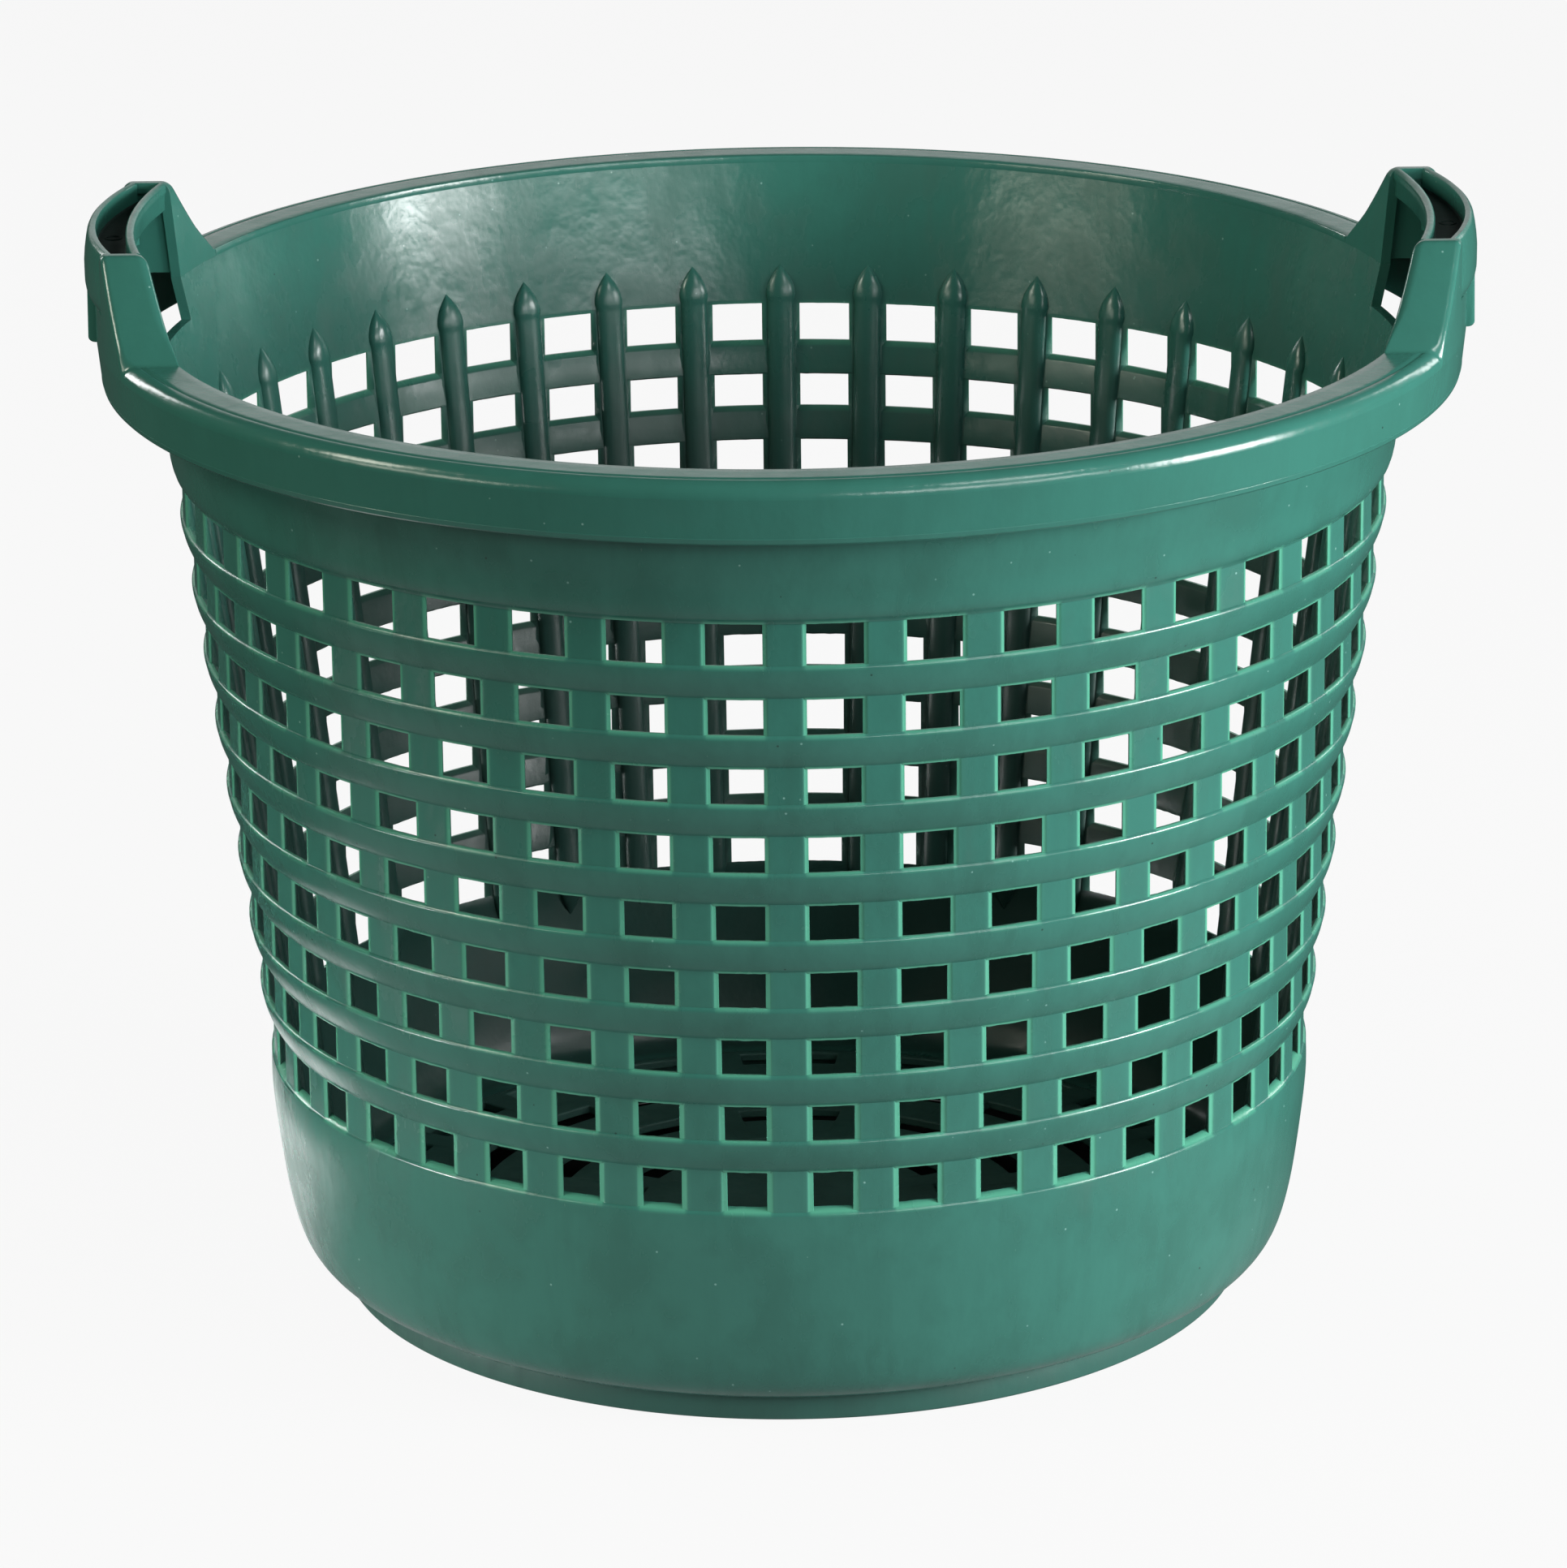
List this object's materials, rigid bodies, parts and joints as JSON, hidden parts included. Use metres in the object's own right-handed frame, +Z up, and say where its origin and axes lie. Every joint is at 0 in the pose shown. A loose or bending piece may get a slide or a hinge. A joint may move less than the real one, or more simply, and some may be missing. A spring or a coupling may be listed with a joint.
{
  "type": "leaf basket",
  "caption": "Round openwork plastic basket with a slotted floor, hooped lattice wall, rolled rim and two raised grips, for gathering leaves and carrying a harvest.",
  "frame": {"origin": "centre of the foot ring on the ground", "axes": "+Z up out of the mouth, +X through the right grip, -Y towards the viewer of the picture"},
  "size_m": [0.532, 0.524, 0.425],
  "materials": {
    "basket_plastic": "satin dark green moulded polyethylene"
  },
  "bodies": {
    "root": {"floor_plate": "basket_plastic", "foot_ring": "basket_plastic", "lower_bowl": "basket_plastic", "hoop_1": "basket_plastic", "hoop_2": "basket_plastic", "hoop_3": "basket_plastic", "hoop_4": "basket_plastic", "hoop_5": "basket_plastic", "hoop_6": "basket_plastic", "hoop_7": "basket_plastic", "hoop_8": "basket_plastic", "uprights_right": "basket_plastic", "uprights_back": "basket_plastic", "uprights_left": "basket_plastic", "uprights_front": "basket_plastic", "top_collar": "basket_plastic", "rim_plate_front": "basket_plastic", "rim_plate_back": "basket_plastic", "rim_shoulder_front": "basket_plastic", "rim_shoulder_back": "basket_plastic", "rim_skirt": "basket_plastic", "right_front_ear": "basket_plastic", "right_back_ear": "basket_plastic", "right_grip_outer_wall": "basket_plastic", "right_grip_inner_wall": "basket_plastic", "right_grip_floor": "basket_plastic", "left_front_ear": "basket_plastic", "left_back_ear": "basket_plastic", "left_grip_outer_wall": "basket_plastic", "left_grip_inner_wall": "basket_plastic", "left_grip_floor": "basket_plastic"}
  },
  "joints": []
}
